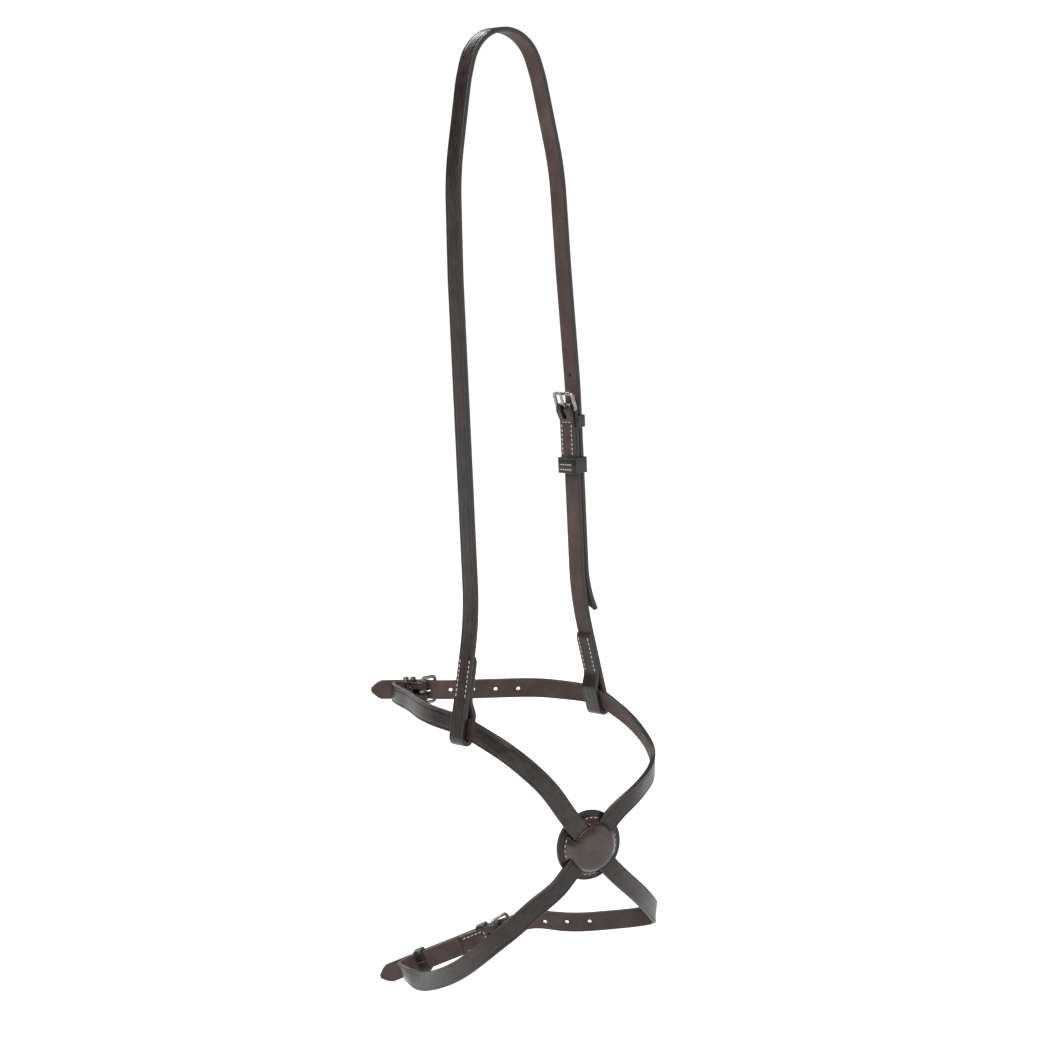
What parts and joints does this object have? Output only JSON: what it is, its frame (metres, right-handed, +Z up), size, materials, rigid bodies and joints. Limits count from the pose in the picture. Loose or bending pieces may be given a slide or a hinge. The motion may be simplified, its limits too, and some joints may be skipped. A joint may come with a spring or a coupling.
{
  "type": "bitless hackamore",
  "caption": "Bitless leather headgear: a crown and cheek straps carry a figure-eight noseband that crosses under a domed rosette and closes with steel buckles.",
  "frame": {"origin": "poll: middle of the underside of the crown strap", "axes": "+Z up, the horse looks along -Y, its near (left) side is +X"},
  "size_m": [0.1752, 0.2224, 0.8017],
  "materials": {
    "strap_leather": "waxed black-brown grain outside, brown flesh side inside, black edges",
    "keeper_leather": "waxed grain",
    "rosette_leather": "polished dome",
    "buckle_steel": "brushed",
    "thread": "waxed linen thread"
  },
  "bodies": {
    "headgear": {"headpiece": "strap_leather", "near_cheek": "strap_leather", "cheek_fixed_keeper": "keeper_leather", "off_loop_stitching": "thread", "near_loop_stitching": "thread", "cheek_buckle_stitching": "thread"},
    "noseband": {"nose_strap_1": "strap_leather", "nose_strap_2": "strap_leather", "rosette_base": "rosette_leather", "rosette_cover": "rosette_leather", "rosette_stitching": "thread", "upper_fixed_keeper": "keeper_leather", "lower_fixed_keeper": "keeper_leather", "upper_buckle_stitching": "thread", "lower_buckle_stitching": "thread"},
    "cheek_frame": {"cheek_buckle_frame": "buckle_steel"},
    "cheek_tongue": {"cheek_prong": "buckle_steel"},
    "cheek_keeper": {"cheek_running_keeper": "keeper_leather"},
    "upper_frame": {"upper_buckle_frame": "buckle_steel"},
    "upper_tongue": {"upper_prong": "buckle_steel"},
    "upper_keeper": {"upper_running_keeper": "keeper_leather"},
    "lower_frame": {"lower_buckle_frame": "buckle_steel"},
    "lower_tongue": {"lower_prong": "buckle_steel"},
    "lower_keeper": {"lower_running_keeper": "keeper_leather"}
  },
  "joints": [
    {"name": "noseband_swing", "type": "hinge", "parent": "headgear", "child": "noseband", "pos_m": [0, -0.03734, -0.5477], "axis": [1, 0, 0], "range_deg": [-4, 2]},
    {"name": "cheek_buckle_swing", "type": "hinge", "parent": "headgear", "child": "cheek_frame", "pos_m": [0.05552, -0.02081, -0.30529], "axis": [0, -0.9977, 0.068], "range_deg": [0, 45]},
    {"name": "cheek_prong_swing", "type": "hinge", "parent": "cheek_frame", "child": "cheek_tongue", "pos_m": [0.05552, -0.02081, -0.30529], "axis": [0, -0.9977, 0.068], "range_deg": [0, 25]},
    {"name": "cheek_keeper_slide", "type": "slide", "parent": "headgear", "child": "cheek_keeper", "axis": [0, 0.068, 0.9977], "range_m": [-0.07, 0.024]},
    {"name": "upper_buckle_swing", "type": "hinge", "parent": "noseband", "child": "upper_frame", "pos_m": [-0.031, 0.0643, -0.544], "axis": [0, 0, 1], "range_deg": [0, 3]},
    {"name": "upper_prong_swing", "type": "hinge", "parent": "upper_frame", "child": "upper_tongue", "pos_m": [-0.031, 0.0643, -0.544], "axis": [0, 0, 1], "range_deg": [0, 3]},
    {"name": "upper_keeper_slide", "type": "slide", "parent": "noseband", "child": "upper_keeper", "axis": [0.7901, -0.613, 0], "range_m": [-0.0025, 0.0008]},
    {"name": "lower_buckle_swing", "type": "hinge", "parent": "noseband", "child": "lower_frame", "pos_m": [-0.003, 0.001, -0.746], "axis": [-0.2592, 0.3357, 0.9056], "range_deg": [0, 3]},
    {"name": "lower_prong_swing", "type": "hinge", "parent": "lower_frame", "child": "lower_tongue", "pos_m": [-0.003, 0.001, -0.746], "axis": [-0.2592, 0.3357, 0.9056], "range_deg": [0, 3]},
    {"name": "lower_keeper_slide", "type": "slide", "parent": "noseband", "child": "lower_keeper", "axis": [0.5533, -0.7169, 0.4241], "range_m": [-0.004, 0.026]}
  ]
}
